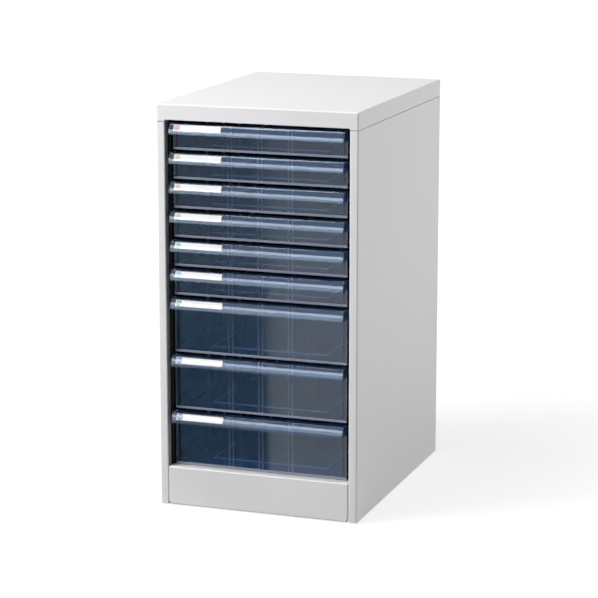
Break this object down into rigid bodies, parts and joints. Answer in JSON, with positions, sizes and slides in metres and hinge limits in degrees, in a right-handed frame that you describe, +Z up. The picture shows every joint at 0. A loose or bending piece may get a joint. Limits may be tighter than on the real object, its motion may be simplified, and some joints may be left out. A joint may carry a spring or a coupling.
{
  "type": "tray cabinet",
  "caption": "Floor-standing steel cabinet with clear pull-out trays for large sheets, shallow ones over deep ones, each with a finger lip and a windowed index card.",
  "frame": {"origin": "centre of the underside of the bounding box, on the floor", "axes": "+X to the right as seen from the front, +Y from the front to the back, +Z up"},
  "size_m": [0.357, 0.4884, 0.7],
  "materials": {
    "case_paint": "light grey satin powder coat",
    "frame_paint": "black satin powder coat",
    "screw_steel": "bright zinc plate",
    "glide_plastic": "black moulded plastic",
    "tray_plastic": "clear smoke-blue moulded plastic",
    "window_plastic": "clear moulded plastic",
    "index_card": "white card with a pale coloured spot at its left end"
  },
  "bodies": {
    "case": {"right_side_panel": "case_paint", "left_side_panel": "case_paint", "top_cap": "case_paint", "kick_plate": "case_paint", "bottom_pan": "case_paint", "back_panel": "case_paint", "cap_screws": "screw_steel", "back_panel_screws": "screw_steel", "corner_glides": "glide_plastic", "right_front_post": "frame_paint", "left_front_post": "frame_paint", "right_rear_post": "frame_paint", "left_rear_post": "frame_paint", "right_runner_1": "frame_paint", "left_runner_1": "frame_paint", "right_runner_2": "frame_paint", "left_runner_2": "frame_paint", "right_runner_3": "frame_paint", "left_runner_3": "frame_paint", "right_runner_4": "frame_paint", "left_runner_4": "frame_paint", "right_runner_5": "frame_paint", "left_runner_5": "frame_paint", "right_runner_6": "frame_paint", "left_runner_6": "frame_paint", "right_runner_7": "frame_paint", "left_runner_7": "frame_paint", "right_runner_8": "frame_paint", "left_runner_8": "frame_paint", "right_runner_9": "frame_paint", "left_runner_9": "frame_paint"},
    "tray_1_body": {"tray_1": "tray_plastic", "index_card_1": "index_card", "label_window_1": "window_plastic"},
    "tray_2_body": {"tray_2": "tray_plastic", "index_card_2": "index_card", "label_window_2": "window_plastic"},
    "tray_3_body": {"tray_3": "tray_plastic", "index_card_3": "index_card", "label_window_3": "window_plastic"},
    "tray_4_body": {"tray_4": "tray_plastic", "index_card_4": "index_card", "label_window_4": "window_plastic"},
    "tray_5_body": {"tray_5": "tray_plastic", "index_card_5": "index_card", "label_window_5": "window_plastic"},
    "tray_6_body": {"tray_6": "tray_plastic", "index_card_6": "index_card", "label_window_6": "window_plastic"},
    "tray_7_body": {"tray_7": "tray_plastic", "index_card_7": "index_card", "label_window_7": "window_plastic"},
    "tray_8_body": {"tray_8": "tray_plastic", "index_card_8": "index_card", "label_window_8": "window_plastic"},
    "tray_9_body": {"tray_9": "tray_plastic", "index_card_9": "index_card", "label_window_9": "window_plastic"}
  },
  "joints": [
    {"name": "tray_1_slide", "type": "slide", "parent": "case", "child": "tray_1_body", "axis": [0, -1, 0], "range_m": [0, 0.34]},
    {"name": "tray_2_slide", "type": "slide", "parent": "case", "child": "tray_2_body", "axis": [0, -1, 0], "range_m": [0, 0.34]},
    {"name": "tray_3_slide", "type": "slide", "parent": "case", "child": "tray_3_body", "axis": [0, -1, 0], "range_m": [0, 0.34]},
    {"name": "tray_4_slide", "type": "slide", "parent": "case", "child": "tray_4_body", "axis": [0, -1, 0], "range_m": [0, 0.34]},
    {"name": "tray_5_slide", "type": "slide", "parent": "case", "child": "tray_5_body", "axis": [0, -1, 0], "range_m": [0, 0.34]},
    {"name": "tray_6_slide", "type": "slide", "parent": "case", "child": "tray_6_body", "axis": [0, -1, 0], "range_m": [0, 0.34]},
    {"name": "tray_7_slide", "type": "slide", "parent": "case", "child": "tray_7_body", "axis": [0, -1, 0], "range_m": [0, 0.34]},
    {"name": "tray_8_slide", "type": "slide", "parent": "case", "child": "tray_8_body", "axis": [0, -1, 0], "range_m": [0, 0.34]},
    {"name": "tray_9_slide", "type": "slide", "parent": "case", "child": "tray_9_body", "axis": [0, -1, 0], "range_m": [0, 0.34]}
  ]
}
